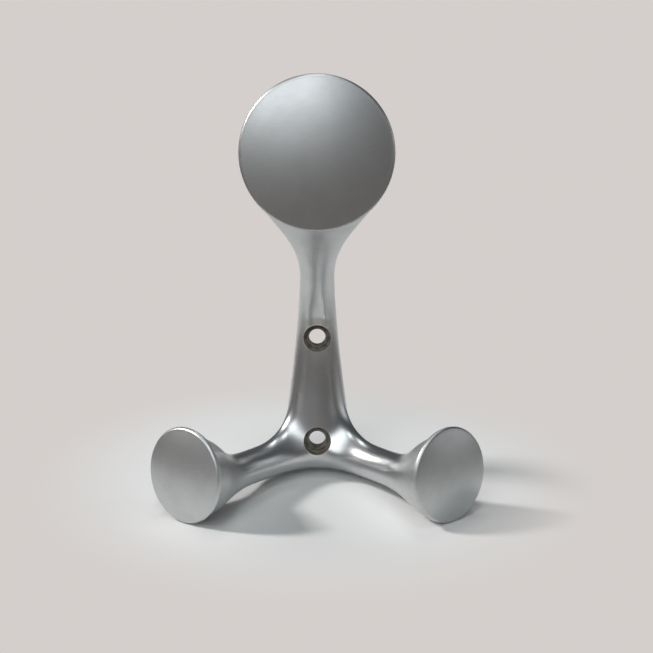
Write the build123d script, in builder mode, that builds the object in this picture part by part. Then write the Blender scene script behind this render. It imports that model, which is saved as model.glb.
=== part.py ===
"""Three-arm coat hook, cast in one piece: a spine with two screw holes, one upper and two lower trumpet arms.

Frame: the wall is the XZ plane at Y = 0, the front looks along -Y and +Z is up. The origin is on the wall, midway
between the two screw holes. All sizes are in millimetres.
"""
import math
import os

from build123d import *

# Driving dimensions
HOLE_SPACING = 32.0
HOLE_DIAMETER = 5.2
COUNTERBORE_DIAMETER = 8.4
SCREW_SEAT = 5.5

TOP_DISC_DIAMETER = 43.4
TOP_DISC_REACH = 44.0
TOP_DISC_ABOVE_NECK = 36.5
SIDE_DISC_DIAMETER = 28.0
SIDE_ARM_LENGTH = 34.9
SIDE_ARM_TURN = 39.0
SIDE_ARM_BEND = 21.3
RIM_THICKNESS = 1.8
DOME_RATIO = 0.055

NECK_DIAMETER = 10.4
NECK_ABOVE_HOLE = 19.0
NECK_REACH = 12.5
NECK_RISE = 50.0
ARM_BELOW_HOLE = 4.2
ARM_DROOP = 2.5
SPINE_WIDTH = 12.8
HUB_WIDTH = 22.0
HUB_FILLET = 15.0

# Sizes that follow from them
NECK_RADIUS = NECK_DIAMETER / 2
HUB_HALF_DEPTH = 1.3 * NECK_RADIUS
HUB_CENTRE = 0.58 * NECK_RADIUS
SPINE_FRONT = 0.87 * NECK_DIAMETER
SPINE_BACK = 0.17 * NECK_DIAMETER
HOLE_HEIGHT = HOLE_SPACING / 2
ARM_HEIGHT = -HOLE_HEIGHT - ARM_BELOW_HOLE
NECK_HEIGHT = HOLE_HEIGHT + NECK_ABOVE_HOLE
TOP_DISC_HEIGHT = NECK_HEIGHT + TOP_DISC_ABOVE_NECK
RIM_ROUND = 0.55 * RIM_THICKNESS
RIM_TAPER = 0.2 * RIM_THICKNESS
RIM_LEDGE = 0.17 * RIM_THICKNESS
TOP_RIM = TOP_DISC_DIAMETER / 2 - RIM_TAPER - RIM_LEDGE
SIDE_RIM = SIDE_DISC_DIAMETER / 2 - RIM_TAPER - RIM_LEDGE
ELBOW_REACH = 0.235 * SIDE_ARM_LENGTH
FOOT_HEIGHT = ARM_HEIGHT - 0.2 * NECK_RADIUS
BELL_START = 1.5
BELL_FLARE = 2.4

TURN = math.radians(SIDE_ARM_TURN)
RISE = math.radians(NECK_RISE)
FRONT = Vector(0, -1, 0)
UP = Vector(0, 0, 1)
SIDE_NORMAL = Vector(math.sin(TURN), -math.cos(TURN), 0)


def bell(share: float, rim_radius: float) -> float:
    """Radius of a trumpet at a share of its length, from the neck (0) to the rim (1)."""
    return NECK_RADIUS + (rim_radius - NECK_RADIUS) * (1 - (1 - share) ** BELL_START) ** BELL_FLARE


def leaning(off: float) -> Vector:
    """Direction in the middle plane that far, in radians, from the neck's own rise."""
    return Vector(0, -math.cos(RISE + off), math.sin(RISE + off))


def oval(half_width: float, half_depth: float) -> None:
    """An ellipse in the sketch at hand, whose seam is at its back (+Y)."""
    angles = [math.pi / 2 + step * math.pi / 8 for step in range(16)]
    with BuildLine() as outline:
        Spline(*[(half_width * math.cos(angle), half_depth * math.sin(angle)) for angle in angles], periodic=True)
    make_face(outline.edges())


def domed_disc(diameter: float) -> Part:
    """A domed end disc about +Z, with its rim's front edge in the plane Z = 0."""
    radius = diameter / 2
    dome = diameter * DOME_RATIO
    edge = radius - RIM_ROUND
    with BuildPart() as plate:
        with BuildSketch(Plane.XZ):
            with BuildLine():
                face = ThreePointArc((0, dome), (edge / 2, dome * 0.76), (edge, 0))
                rim = RadiusArc(face @ 1, (radius, -RIM_ROUND), RIM_ROUND)
                Polyline(rim @ 1, (radius - RIM_TAPER, -RIM_THICKNESS), (0, -RIM_THICKNESS), face @ 0)
            make_face()
        revolve(axis=Axis.Z)
    return plate.part


with BuildPart() as hook:
    # Lower arms: one loft from the left disc through the hub to the right disc
    bend_turn = math.pi / 2 - TURN
    arm_points = [
        Vector(
            SIDE_ARM_BEND * math.sin(turned * bend_turn),
            -HUB_CENTRE - SIDE_ARM_BEND * (1 - math.cos(turned * bend_turn)),
            ARM_HEIGHT - ARM_DROOP * droop,
        )
        for turned, droop in ((0.0, 0.0), (0.5, 0.26), (1.0, 0.74))
    ]
    bend_end = Vector(arm_points[-1].X, arm_points[-1].Y, ARM_HEIGHT)
    side_face = bend_end + SIDE_NORMAL * SIDE_ARM_LENGTH
    elbow = bend_end + SIDE_NORMAL * ELBOW_REACH - UP * ARM_DROOP
    arm_line = Edge.make_spline(
        [*arm_points, elbow, side_face - SIDE_NORMAL * RIM_THICKNESS],
        tangents=[Vector(1, 0, 0), SIDE_NORMAL + UP * 0.3],
    )
    elbow_share = arm_line.param_at_point(elbow)
    arm_stations = []
    for part in (0.0, 0.25, 0.5, 0.75, 1.0):
        hub_share = 1 - part * part * (3 - 2 * part)
        arm_stations.append((elbow_share * part, 0.0, NECK_RADIUS + (HUB_HALF_DEPTH - NECK_RADIUS) * hub_share))
    for share in (0.25, 0.5, 0.75, 1.0):
        arm_stations.append((elbow_share + (1 - elbow_share) * share, share, bell(share, SIDE_RIM)))
    for side in (-1, 1):
        for station, share, half_depth in arm_stations if side > 0 else reversed(arm_stations[1:]):
            spot = arm_line.position_at(station)
            run = arm_line.tangent_at(station).normalized() * (1 - share) + SIDE_NORMAL * share
            with BuildSketch(
                Plane(
                    origin=(side * spot.X, spot.Y, spot.Z),
                    x_dir=(0, 0, -1),
                    z_dir=(run.X, side * run.Y, side * run.Z),
                )
            ):
                oval(bell(share, SIDE_RIM), half_depth)
    loft()

    # Spine and upper arm: two lofts between a front and a back profile in the middle plane
    neck = Vector(0, -NECK_REACH, NECK_HEIGHT)
    across = leaning(-math.pi / 2) * NECK_RADIUS
    top_back = Vector(0, -TOP_DISC_REACH + RIM_THICKNESS, TOP_DISC_HEIGHT)
    foot = Vector(0, 0, FOOT_HEIGHT)
    hole = Vector(0, 0, HOLE_HEIGHT)
    spine_front = Edge.make_spline(
        [foot + FRONT * SPINE_FRONT * 0.93, hole + FRONT * SPINE_FRONT, neck + across], tangents=[UP, leaning(0)]
    )
    spine_back = Edge.make_spline(
        [foot - FRONT * SPINE_BACK, hole - FRONT * SPINE_BACK, neck - across], tangents=[UP, leaning(0)]
    )
    arm_under = Edge.make_spline([neck + across, top_back - UP * TOP_RIM], tangents=[leaning(0), leaning(-0.6)])
    arm_over = Edge.make_spline([neck - across, top_back + UP * TOP_RIM], tangents=[leaning(0), leaning(0.45)])
    hub_half, spine_half = HUB_WIDTH / 2, SPINE_WIDTH / 2
    spine_sections = [
        (0.0, hub_half),
        (0.35, spine_half + 0.45 * (hub_half - spine_half)),
        (0.66, spine_half),
        (0.93, NECK_RADIUS + 0.1 * (spine_half - NECK_RADIUS)),
        (1.0, NECK_RADIUS),
    ]
    arm_sections = [(share, bell(share, TOP_RIM)) for share in (0.0, 0.07, 0.36, 0.68, 1.0)]
    for under, over, sections in ((spine_front, spine_back, spine_sections), (arm_under, arm_over, arm_sections)):
        for share, half_width in sections:
            low, high = under.position_at(share), over.position_at(share)
            chord = high - low
            with BuildSketch(Plane(origin=(low + high) / 2, x_dir=(1, 0, 0), z_dir=Vector(1, 0, 0).cross(chord))):
                oval(half_width, chord.length / 2)
        loft()

    # Blend between the spine and the arms, then the flat back on the wall
    joint = [
        edge
        for edge in hook.edges()
        if edge.bounding_box().max.Z < ARM_HEIGHT + 2 * NECK_RADIUS
        and edge.bounding_box().min.Z > FOOT_HEIGHT
        and edge.bounding_box().max.X < HUB_WIDTH
    ]
    fillet(joint, radius=min(HUB_FILLET, 4 * NECK_RADIUS))
    split(bisect_by=Plane.XZ, keep=Keep.TOP)

    # End discs
    top_plane = Plane(origin=(0, -TOP_DISC_REACH, TOP_DISC_HEIGHT), z_dir=FRONT)
    add(top_plane.location * domed_disc(TOP_DISC_DIAMETER))
    for side in (-1, 1):
        side_plane = Plane(
            origin=(side * side_face.X, side_face.Y, side_face.Z), z_dir=(side * SIDE_NORMAL.X, SIDE_NORMAL.Y, 0)
        )
        add(side_plane.location * domed_disc(SIDE_DISC_DIAMETER))

    # Counterbored screw holes
    for start, diameter in ((0.0, HOLE_DIAMETER), (SCREW_SEAT, COUNTERBORE_DIAMETER)):
        with BuildSketch(Plane.XZ.offset(start)):
            with Locations((0, HOLE_HEIGHT), (0, -HOLE_HEIGHT)):
                Circle(diameter / 2)
        extrude(amount=TOP_DISC_REACH, mode=Mode.SUBTRACT)

hook.part.label = "hook_casting"
os.makedirs("parts", exist_ok=True)
export_step(hook.part, "parts/hook_casting.step")
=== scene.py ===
"""Looks of a cast aluminium coat hook with three disc-ended arms, on its fixed CAD frame.

The frame is in metres: the wall is the plane Y = 0, the front looks along -Y and +Z is up.
"""
import logging
import math
from dataclasses import dataclass
from enum import Enum
from typing import Any

import bmesh
import bpy
import numpy as np
from mathutils import Euler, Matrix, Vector


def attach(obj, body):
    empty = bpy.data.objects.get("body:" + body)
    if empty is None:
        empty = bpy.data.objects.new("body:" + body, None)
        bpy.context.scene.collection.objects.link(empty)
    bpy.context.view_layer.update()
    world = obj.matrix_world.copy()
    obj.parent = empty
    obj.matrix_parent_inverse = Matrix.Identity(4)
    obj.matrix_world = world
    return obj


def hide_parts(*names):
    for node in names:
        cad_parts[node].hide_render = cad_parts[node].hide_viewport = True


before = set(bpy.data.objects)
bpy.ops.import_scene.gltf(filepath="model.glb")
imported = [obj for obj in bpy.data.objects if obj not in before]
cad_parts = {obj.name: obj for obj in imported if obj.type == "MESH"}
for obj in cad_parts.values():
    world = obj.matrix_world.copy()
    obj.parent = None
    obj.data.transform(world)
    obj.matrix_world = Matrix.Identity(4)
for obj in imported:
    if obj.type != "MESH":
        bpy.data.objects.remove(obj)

LOG = logging.getLogger("coat_hook")
MILLIMETRE = 0.001
NOISE_MIDDLE = 0.5
Pair = tuple[float, float]
Triple = tuple[float, float, float]
Colour = Triple


def soft_step(places: np.ndarray, low: float, high: float) -> np.ndarray:
    """Returns a soft step that is 0 at low and 1 at high, whichever of them is larger."""
    share = np.clip((places - low) / (high - low), 0.0, 1.0)
    return share * share * (3 - 2 * share)


def read_items(items: "bpy.types.bpy_prop_collection", name: str, width: int) -> np.ndarray:
    """Reads one value of every item of a mesh.

    Args:
        items: The mesh's corners, faces or an attribute's data.
        name: Which value is read.
        width: How many numbers it holds.

    Returns:
        A row per item.
    """
    numbers = np.empty(len(items) * width, dtype=np.float32)
    items.foreach_get(name, numbers)
    return numbers.reshape(-1, width)


class Value:
    """A number in a node tree, with the arithmetic that the finishes use."""

    def __init__(self, board: "Board", socket: bpy.types.NodeSocket) -> None:
        """Wraps an output socket of the board's tree."""
        self.board = board
        self.socket = socket

    def _math(self, operation: str, *terms: "Value | float") -> "Value":
        """Adds a Math node with the terms as its inputs and returns its result."""
        return self.board.value("ShaderNodeMath", 0, {"operation": operation}, dict(enumerate(terms)))

    def __add__(self, other: "Value | float") -> "Value":
        """Returns self + other."""
        return self._math("ADD", self, other)

    __radd__ = __add__

    def __sub__(self, other: "Value | float") -> "Value":
        """Returns self - other."""
        return self._math("SUBTRACT", self, other)

    def __rsub__(self, other: "Value | float") -> "Value":
        """Returns other - self."""
        return self._math("SUBTRACT", other, self)

    def __mul__(self, other: "Value | float") -> "Value":
        """Returns self * other."""
        return self._math("MULTIPLY", self, other)

    __rmul__ = __mul__

    def smaller(self, other: "Value | float") -> "Value":
        """Returns the smaller of self and other."""
        return self._math("MINIMUM", self, other)

    def diagonal(self, other: "Value") -> "Value":
        """Returns the diagonal of a rectangle whose sides are self and other."""
        return self._math("SQRT", self * self + other * other)

    def ease(self, low: float, high: float) -> "Value":
        """Returns a soft step that is 0 at low and 1 at high."""
        inputs = {"Value": self, "From Min": low, "From Max": high}
        return self.board.value("ShaderNodeMapRange", 0, {"interpolation_type": "SMOOTHSTEP"}, inputs)


class Board:
    """A node tree that is being filled."""

    # A Mix node has sockets for each type of data, and these are the ones that mix colours
    MIX_INPUTS = (0, 6, 7)
    MIX_OUTPUT = 2

    def __init__(self, owner: bpy.types.Material | bpy.types.World) -> None:
        """Turns on the nodes of a material or a world and empties their tree."""
        owner.use_nodes = True
        self.tree = owner.node_tree
        self.tree.nodes.clear()

    def add(self, kind: str, settings: dict[str, Any], inputs: dict[str | int, Any]) -> bpy.types.Node:
        """Adds a node.

        Args:
            kind: The node's type.
            settings: Properties of the node, set before its sockets.
            inputs: Numbers, vectors, colours, values or sockets, by the input's name or place.

        Returns:
            The new node.
        """
        node = self.tree.nodes.new(kind)
        for name, setting in settings.items():
            setattr(node, name, setting)
        for key, given in inputs.items():
            socket = node.inputs[key]
            if isinstance(given, Value):
                given = given.socket
            if isinstance(given, bpy.types.NodeSocket):
                self.tree.links.new(given, socket)
            elif socket.type == "RGBA":
                socket.default_value = (*given, 1.0)
            else:
                socket.default_value = given
        return node

    def value(
        self, kind: str, output: str | int, settings: dict[str, Any], inputs: dict[str | int, Any]
    ) -> Value:
        """Adds a node and returns one of its outputs as a value."""
        return Value(self, self.add(kind, settings, inputs).outputs[output])

    def stretch(self, place: bpy.types.NodeSocket, factors: Triple) -> bpy.types.NodeSocket:
        """Returns a place whose X, Y and Z are multiplied by the factors."""
        inputs = {0: place, 1: factors}
        return self.add("ShaderNodeVectorMath", {"operation": "MULTIPLY"}, inputs).outputs[0]

    def mix(self, share: Value, first: Any, second: Any) -> bpy.types.NodeSocket:
        """Returns a mixture of two colours or their sockets; share is how much of the second there is."""
        inputs = dict(zip(self.MIX_INPUTS, (share, first, second)))
        return self.add("ShaderNodeMix", {"data_type": "RGBA"}, inputs).outputs[self.MIX_OUTPUT]


@dataclass(frozen=True)
class Noise:
    """A noise between 0 and 1, with its scale per millimetre."""

    scale: float
    detail: float

    def at(self, board: Board, place: bpy.types.NodeSocket) -> Value:
        """Returns the noise at a place in millimetres."""
        inputs = {"Vector": place, "Scale": self.scale, "Detail": self.detail}
        return board.value("ShaderNodeTexNoise", 0, {}, inputs)


@dataclass(frozen=True)
class ShadedBoreFinish:
    """Turned walls and seats of the screw holes, coloured dark as painted shade inside the holes, with
    lighter lips as a painted highlight on their rims. Lengths are in millimetres.
    """

    # Painted shade: both tones are darkened to stand for the shade inside the holes
    shade_dark: Colour = (0.085, 0.075, 0.055)
    light: Colour = (0.37, 0.345, 0.30)
    # Painted highlight: a lighter ring on each hole's rim
    lip_highlight: Colour = (0.74, 0.74, 0.72)
    rings: Noise = Noise(2.2, 2.0)
    blotches: Noise = Noise(0.55, 3.0)
    ring_share: float = 0.55
    tones: Pair = (0.36, 0.64)
    roughness: float = 0.52
    metallic: float = 0.55
    edge: Pair = (4.15, 4.30)
    lip_highlight_edge: Pair = (4.425, 4.65)
    lip_highlight_share: float = 0.6

    def colour(
        self, board: Board, place: bpy.types.NodeSocket, radius: Value, y: Value
    ) -> bpy.types.NodeSocket:
        """Colours the walls and seats: turned rings and blotches between two dark tones that paint the
        shade inside the holes.
            place: Object coordinates in millimetres.
            radius: Distance from the nearer hole's axis.
            y: Place along the holes, which is negative in front of the wall.

        Returns:
            The colour's socket.
        """
        turned = board.add("ShaderNodeCombineXYZ", {}, {0: radius, 1: y}).outputs[0]
        rings = self.rings.at(board, turned) * self.ring_share
        blotches = self.blotches.at(board, place) * (1 - self.ring_share)
        return board.mix((rings + blotches).ease(*self.tones), self.shade_dark, self.light)


@dataclass(frozen=True)
class AboveHoleDarkening:
    """A faint brownish darkening on the front, just above the upper hole. Lengths are in millimetres."""

    colour: Colour = (0.30, 0.26, 0.19)
    height: float = 21.0
    across: float = 0.22
    upward: float = 0.5
    wobble: float = 0.8
    edge: Pair = (0.45, 1.05)
    depth: Pair = (5.0, 7.0)
    strength: float = 0.45
    dulling: float = 0.5

    def mask(self, x: Value, y: Value, z: Value, cloud: Value) -> Value:
        """Works out where the darkening is.

        Args:
            x: Place across the hook.
            y: Place along the holes, which is negative in front of the wall.
            z: Height.
            cloud: A broad noise that makes the darkening's edge uneven.

        Returns:
            How much of the darkening there is.
        """
        spread = (x * self.across).diagonal((z - self.height) * self.upward)
        spread = spread + (cloud - NOISE_MIDDLE) * self.wobble
        return (1 - spread.ease(*self.edge)) * (0 - y).ease(*self.depth) * self.strength


@dataclass(frozen=True)
class CastFinish:
    """Satin cast aluminium, smoother on the stem and matt on the discs. Lengths are in millimetres."""

    metal: Colour = (0.61, 0.615, 0.62)
    metal_dull: Colour = (0.525, 0.53, 0.535)
    # The holes, painted dark for their shade, with a painted highlight on their rims
    shaded_bore: ShadedBoreFinish = ShadedBoreFinish()
    above_hole_darkening: AboveHoleDarkening = AboveHoleDarkening()
    fine: Noise = Noise(3.2, 3.0)
    cloud: Noise = Noise(0.12, 4.0)
    brushed: Noise = Noise(1.0, 3.0)
    brushed_stretch: Triple = (0.35, 1.0, 2.4)
    dull_clouds: Pair = (0.35, 0.7)
    dull_cloud_share: float = 0.5
    dull_brushed_share: float = 0.9
    stem_roughness: float = 0.31
    disc_roughness: float = 0.42
    disc_depths: Pair = (24.0, 36.0)
    fine_swing: float = 0.06
    cloud_swing: float = 0.06
    brushed_swing: float = 0.05
    grain_strength: float = 0.22
    grain_depth: float = 0.02
    hole_height: float = 16.0

    def make(self, name: str) -> bpy.types.Material:
        """Builds the material.

        Args:
            name: The material's name.

        Returns:
            The material, which reads Object coordinates in metres.
        """
        material = bpy.data.materials.new(name)
        board = Board(material)
        metres = board.add("ShaderNodeTexCoord", {}, {}).outputs["Object"]
        place = board.stretch(metres, (1 / MILLIMETRE, 1 / MILLIMETRE, 1 / MILLIMETRE))
        parts = board.add("ShaderNodeSeparateXYZ", {}, {0: place})
        x, y, z = (Value(board, socket) for socket in parts.outputs)
        radius = x.diagonal(z - self.hole_height).smaller(x.diagonal(z + self.hole_height))

        fine = self.fine.at(board, place)
        cloud = self.cloud.at(board, place)
        brushed = self.brushed.at(board, board.stretch(place, self.brushed_stretch))
        disc = (0 - y).ease(*self.disc_depths)
        shaded_bore = 1 - radius.ease(*self.shaded_bore.edge)
        lip_highlight = (1 - shaded_bore) * (1 - radius.ease(*self.shaded_bore.lip_highlight_edge))
        # A brownish darkening on the front, just above the upper hole
        above_hole_darkening = self.above_hole_darkening.mask(x, y, z, cloud)

        dull = cloud.ease(*self.dull_clouds) * self.dull_cloud_share
        dull = dull + (brushed - NOISE_MIDDLE) * self.dull_brushed_share
        colour = board.mix(dull, self.metal, self.metal_dull)
        colour = board.mix(above_hole_darkening, colour, self.above_hole_darkening.colour)
        # Painted highlight on the rims of the holes
        colour = board.mix(lip_highlight * self.shaded_bore.lip_highlight_share, colour, self.shaded_bore.lip_highlight)
        # Painted shade inside the holes
        colour = board.mix(shaded_bore, colour, self.shaded_bore.colour(board, place, radius, y))

        roughness = disc * (self.disc_roughness - self.stem_roughness) + self.stem_roughness
        swings = ((fine, self.fine_swing), (cloud, self.cloud_swing), (brushed, self.brushed_swing))
        for noise, swing in swings:
            roughness = roughness + (noise - NOISE_MIDDLE) * swing
        rougher = self.shaded_bore.roughness - self.stem_roughness
        roughness = roughness + (shaded_bore + above_hole_darkening * self.above_hole_darkening.dulling) * rougher

        grain = {
            "Strength": self.grain_strength,
            "Distance": self.grain_depth * MILLIMETRE,
            "Height": fine + brushed,
        }
        surface = {
            "Base Color": colour,
            # Less metallic inside the holes, which adds to the painted shade there
            "Metallic": 1 - shaded_bore * (1 - self.shaded_bore.metallic),
            "Roughness": roughness,
            "Normal": board.add("ShaderNodeBump", {}, grain).outputs[0],
        }
        shader = board.add("ShaderNodeBsdfPrincipled", {}, surface)
        board.add("ShaderNodeOutputMaterial", {}, {0: shader.outputs[0]})
        return material


@dataclass
class HookCasting:
    """The one casting: spine, hub and three arms with discs, its shading eased at the hub and the neck."""

    node: str = "hook_casting"
    slot: str = "cast_aluminium"
    finish: CastFinish = CastFinish()
    hub: Vector = Vector((0.0, -0.008, -0.013))
    hub_polish: Pair = (0.015, 0.027)
    neck: Vector = Vector((0.0, -0.014, 0.030))
    neck_polish: Pair = (0.011, 0.019)
    reach: float = 0.0042
    hole_edge: float = 0.00435
    wall_gap: float = 1e-5
    weld_gap: float = 1e-6
    batches: int = 120

    def build(self) -> bpy.types.Object:
        """Makes a polished copy that stands for the CAD casting and keeps its form.

        Returns:
            The copy's object.
        """
        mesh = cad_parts[self.node].data.copy()
        mesh.name = "polished_casting"
        mesh.materials.clear()
        mesh.materials.append(self.finish.make("satin_cast_aluminium"))
        normals = self._weld(mesh)
        mesh.normals_split_custom_set(self._polish(mesh, normals).tolist())
        casting = bpy.data.objects.new("polished_casting", mesh)
        bpy.context.scene.collection.objects.link(casting)
        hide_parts(self.node)
        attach(casting, "root")
        return casting

    def _weld(self, mesh: bpy.types.Mesh) -> np.ndarray:
        """Merges the copy's double vertices.

        Args:
            mesh: The copy, which is changed in place.

        Returns:
            The CAD normal at each corner of the merged mesh.
        """
        normals = read_items(mesh.corner_normals, "vector", 3)
        kept = mesh.attributes.new("cad_normal", "FLOAT_VECTOR", "CORNER")
        kept.data.foreach_set("vector", normals.ravel())
        work = bmesh.new()
        work.from_mesh(mesh)
        bmesh.ops.remove_doubles(work, verts=work.verts, dist=self.weld_gap)
        work.to_mesh(mesh)
        work.free()
        kept = mesh.attributes["cad_normal"]
        normals = read_items(kept.data, "vector", 3)
        mesh.attributes.remove(kept)
        return normals

    def _polish(self, mesh: bpy.types.Mesh, normals: np.ndarray) -> np.ndarray:
        """Eases the normals at the hub and the neck, where the fillet and the lofts meet.

        Args:
            mesh: The merged copy.
            normals: The CAD normal at each corner.

        Returns:
            The normal that each corner gets.
        """
        centres = read_items(mesh.polygons, "center", 3)
        facing = read_items(mesh.polygons, "normal", 3)
        areas = read_items(mesh.polygons, "area", 1).ravel()
        spots = np.array([mesh.vertices[loop.vertex_index].co for loop in mesh.loops])
        sides = np.array([len(face.vertices) for face in mesh.polygons])
        faces = np.repeat(np.arange(len(sides)), sides)

        # Faces in the holes and on the wall keep their normals
        offset = np.abs(centres[:, 2]) - self.finish.hole_height * MILLIMETRE
        outside = np.hypot(centres[:, 0], offset) > self.hole_edge
        outside &= centres[:, 1] < -self.wall_gap

        share = np.zeros(len(spots))
        near = np.zeros(len(centres), dtype=bool)
        for middle, (full, none) in ((self.hub, self.hub_polish), (self.neck, self.neck_polish)):
            share = np.maximum(share, soft_step(np.linalg.norm(spots - middle, axis=1), none, full))
            near |= np.linalg.norm(centres - middle, axis=1) < none + self.reach
        share = np.where(outside[faces], share, 0.0)
        near &= outside

        # In batches, because each one holds a table of the gaps from its corners to all near faces
        eased = normals.copy()
        for group in np.array_split(np.flatnonzero(share), self.batches):
            gaps = ((spots[group, None] - centres[None, near]) ** 2).sum(axis=2)
            blur = (areas[near] * np.clip(1 - gaps / self.reach**2, 0.0, None) ** 2) @ facing[near]
            blur /= np.linalg.norm(blur, axis=1, keepdims=True)
            eased[group] += (blur - eased[group]) * share[group, None]
        return eased / np.linalg.norm(eased, axis=1, keepdims=True)


@dataclass(frozen=True)
class SoftBox:
    """A lamp that faces the hook: degrees left of the front and up, size in metres, watts and colour."""

    turn_left: float
    rise: float
    size: Pair
    power: float
    colour: Colour


class Lamp(Enum):
    """The studio's soft boxes."""

    KEY = SoftBox(88.0, 38.0, (0.38, 0.38), 45.0, (1.0, 0.985, 0.96))
    ABOVE = SoftBox(0.0, 60.0, (0.45, 0.45), 7.0, (0.94, 0.985, 1.0))
    OVERHEAD = SoftBox(180.0, 80.0, (0.60, 0.60), 6.5, (0.94, 0.985, 1.0))
    FRONT = SoftBox(16.0, 30.0, (1.75, 1.35), 17.5, (0.92, 0.98, 1.0))
    RIGHT = SoftBox(-86.0, 14.0, (1.70, 1.10), 4.5, (0.93, 0.98, 1.0))


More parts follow.
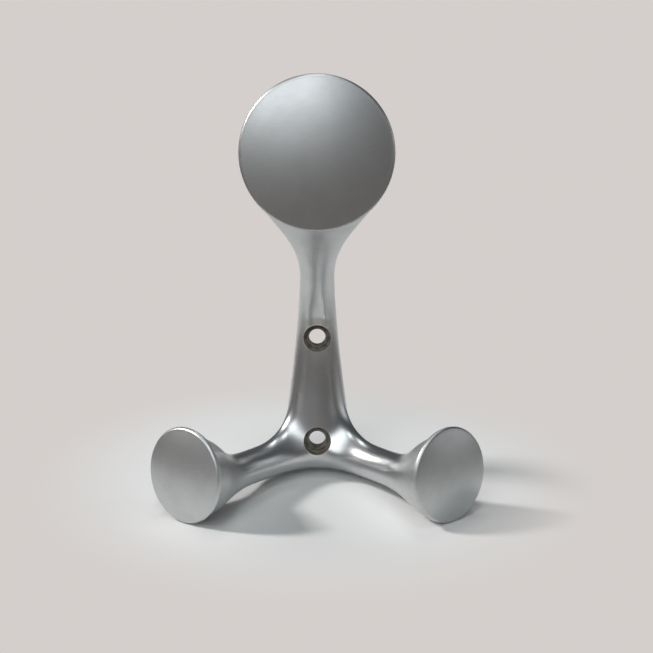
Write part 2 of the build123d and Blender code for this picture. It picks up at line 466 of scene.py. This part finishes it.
@dataclass
class Studio:
    """Paper floor, soft boxes and surroundings. The floor's depths are along Y and its heights along Z."""

    paper: Colour = (0.79, 0.79, 0.785)
    backdrop: Colour = (0.658, 0.624, 0.604)
    gloom_low: Colour = (0.155, 0.140, 0.130)
    gloom_high: Colour = (0.070, 0.075, 0.080)
    gloom_heights: Pair = (-0.4, 0.6)
    floor_gradients: Pair = (0.14, 0.30)
    floor_rise: Pair = (-0.026, -0.014)
    floor_level: Pair = (0.000, 0.030)
    floor_contact: Pair = (-0.037, -0.0344)
    floor_reach: Pair = (-0.100, 1.50)
    floor_half_widths: Pair = (0.110, 1.20)
    floor_lines: int = 70
    pool: Vector = Vector((0.0, -0.003, -0.027))
    floor_lit: Pair = (0.045, 0.092)
    lamp_aim: Vector = Vector((0.0, -0.02, 0.02))
    lamp_distance: float = 2.5

    def build(self) -> None:
        """Makes the whole stage."""
        self._floor()
        self._surroundings()
        for lamp in Lamp:
            self._soft_box(lamp)

    def _profile(self) -> np.ndarray:
        """Runs along the paper from front to back: gentle, steeper under the hub, then gentle again.

        Returns:
            One row of depth, height and half width for each line across the paper.
        """
        front, back = self.floor_reach
        contact_depth, contact_height = self.floor_contact
        bend = np.linspace(contact_depth, self.floor_level[1], self.floor_lines)
        depths = np.array([front, *bend, back])
        middles = (depths[1:] + depths[:-1]) / 2
        steep = soft_step(middles, *self.floor_rise) * (1 - soft_step(middles, *self.floor_level))
        gentle, risen = self.floor_gradients
        steps = (gentle + (risen - gentle) * steep) * np.diff(depths)
        heights = contact_height + np.concatenate([[0.0], np.cumsum(steps)]) - steps[0]
        narrow, wide = self.floor_half_widths
        halves = narrow + (wide - narrow) * np.clip(depths / back, 0.0, 1.0)
        return np.stack([depths, heights, halves], axis=1)

    def _floor(self) -> bpy.types.Object:
        """Lays the paper that the hook stands on.

        Returns:
            The floor's object.
        """
        rows = self._profile().tolist()
        corners = [(side * half, depth, height) for depth, height, half in rows for side in (-1, 1)]
        strips = [(2 * row, 2 * row + 1, 2 * row + 3, 2 * row + 2) for row in range(len(rows) - 1)]
        mesh = bpy.data.meshes.new("paper_floor")
        mesh.from_pydata(corners, [], strips)
        mesh.shade_smooth()
        mesh.materials.append(self._pale_paper())
        floor = bpy.data.objects.new("paper_floor", mesh)
        bpy.context.scene.collection.objects.link(floor)
        return floor

    def _pale_paper(self) -> bpy.types.Material:
        """Makes the paper: lit around the hook, plain like the backdrop further off, clear from below.

        Returns:
            The material, which reads Object coordinates in metres.
        """
        material = bpy.data.materials.new("pale_paper")
        board = Board(material)
        place = board.add("ShaderNodeTexCoord", {}, {}).outputs["Object"]
        ends = {0: place, 1: self.pool}
        away = board.value("ShaderNodeVectorMath", "Value", {"operation": "DISTANCE"}, ends)
        seen = board.value("ShaderNodeLightPath", "Is Camera Ray", {}, {})
        below = board.value("ShaderNodeNewGeometry", "Backfacing", {}, {})
        paper = board.add("ShaderNodeBsdfDiffuse", {}, {"Color": self.paper}).outputs[0]
        plain = board.add("ShaderNodeEmission", {}, {"Color": self.backdrop}).outputs[0]
        clear = board.add("ShaderNodeBsdfTransparent", {}, {}).outputs[0]
        share = away.ease(*self.floor_lit) * seen
        sheet = board.add("ShaderNodeMixShader", {}, {0: share, 1: paper, 2: plain}).outputs[0]
        both = board.add("ShaderNodeMixShader", {}, {0: below, 1: sheet, 2: clear}).outputs[0]
        board.add("ShaderNodeOutputMaterial", {}, {0: both})
        return material

    def _surroundings(self) -> None:
        """Fills the world: a pale backdrop for the camera and a dim room for the light."""
        world = bpy.data.worlds.new("dim_room")
        bpy.context.scene.world = world
        board = Board(world)
        direction = board.add("ShaderNodeTexCoord", {}, {}).outputs["Generated"]
        height = board.value("ShaderNodeSeparateXYZ", "Z", {}, {0: direction})
        room = board.mix(height.ease(*self.gloom_heights), self.gloom_low, self.gloom_high)
        seen = board.value("ShaderNodeLightPath", "Is Camera Ray", {}, {})
        light = board.add("ShaderNodeBackground", {}, {"Color": board.mix(seen, room, self.backdrop)})
        board.add("ShaderNodeOutputWorld", {}, {0: light.outputs[0]})

    def _soft_box(self, lamp: Lamp) -> bpy.types.Object:
        """Hangs one soft box that faces the hook.

        Args:
            lamp: Which soft box.

        Returns:
            The lamp's object.
        """
        box = lamp.value
        turn, rise = math.radians(box.turn_left), math.radians(box.rise)
        level = math.cos(rise)
        away = Vector((-math.sin(turn) * level, -math.cos(turn) * level, math.sin(rise)))
        light = bpy.data.lights.new(lamp.name.lower(), "AREA")
        light.shape = "RECTANGLE"
        light.size, light.size_y = box.size
        light.energy = box.power
        light.color = box.colour
        hung = bpy.data.objects.new(lamp.name.lower(), light)
        hung.location = self.lamp_aim + away * self.lamp_distance
        hung.rotation_euler = (-away).to_track_quat("-Z", "Y").to_euler()
        bpy.context.scene.collection.objects.link(hung)
        return hung


@dataclass
class Viewpoint:
    """The camera: where the photograph was taken from."""

    place: Vector = Vector((0.0005, -0.4048, 0.0625))
    tilt_down: float = math.radians(6.17)
    turn_right: float = math.radians(0.34)
    focal_pixels: float = 1300.0
    picture_pixels: float = 653.0
    sensor: float = 36.0
    nearest: float = 0.01

    def build(self) -> bpy.types.Object:
        """Places the camera.

        Returns:
            The camera's object.
        """
        lens = bpy.data.cameras.new("viewpoint")
        lens.sensor_width = self.sensor
        lens.lens = self.sensor * self.focal_pixels / self.picture_pixels
        lens.clip_start = self.nearest
        camera = bpy.data.objects.new("viewpoint", lens)
        camera.location = self.place
        camera.rotation_euler = Euler((math.pi / 2 - self.tilt_down, 0.0, -self.turn_right))
        bpy.context.scene.collection.objects.link(camera)
        bpy.context.scene.camera = camera
        return camera


def main() -> None:
    """Builds the stage, the camera and the hook."""
    logging.basicConfig(level=logging.INFO)
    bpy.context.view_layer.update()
    bpy.context.scene.view_settings.view_transform = "Standard"
    Viewpoint().build()
    Studio().build()
    casting = HookCasting().build()
    LOG.info("dressed %s with %d faces", casting.name, len(casting.data.polygons))


if __name__ == "__main__":
    main()
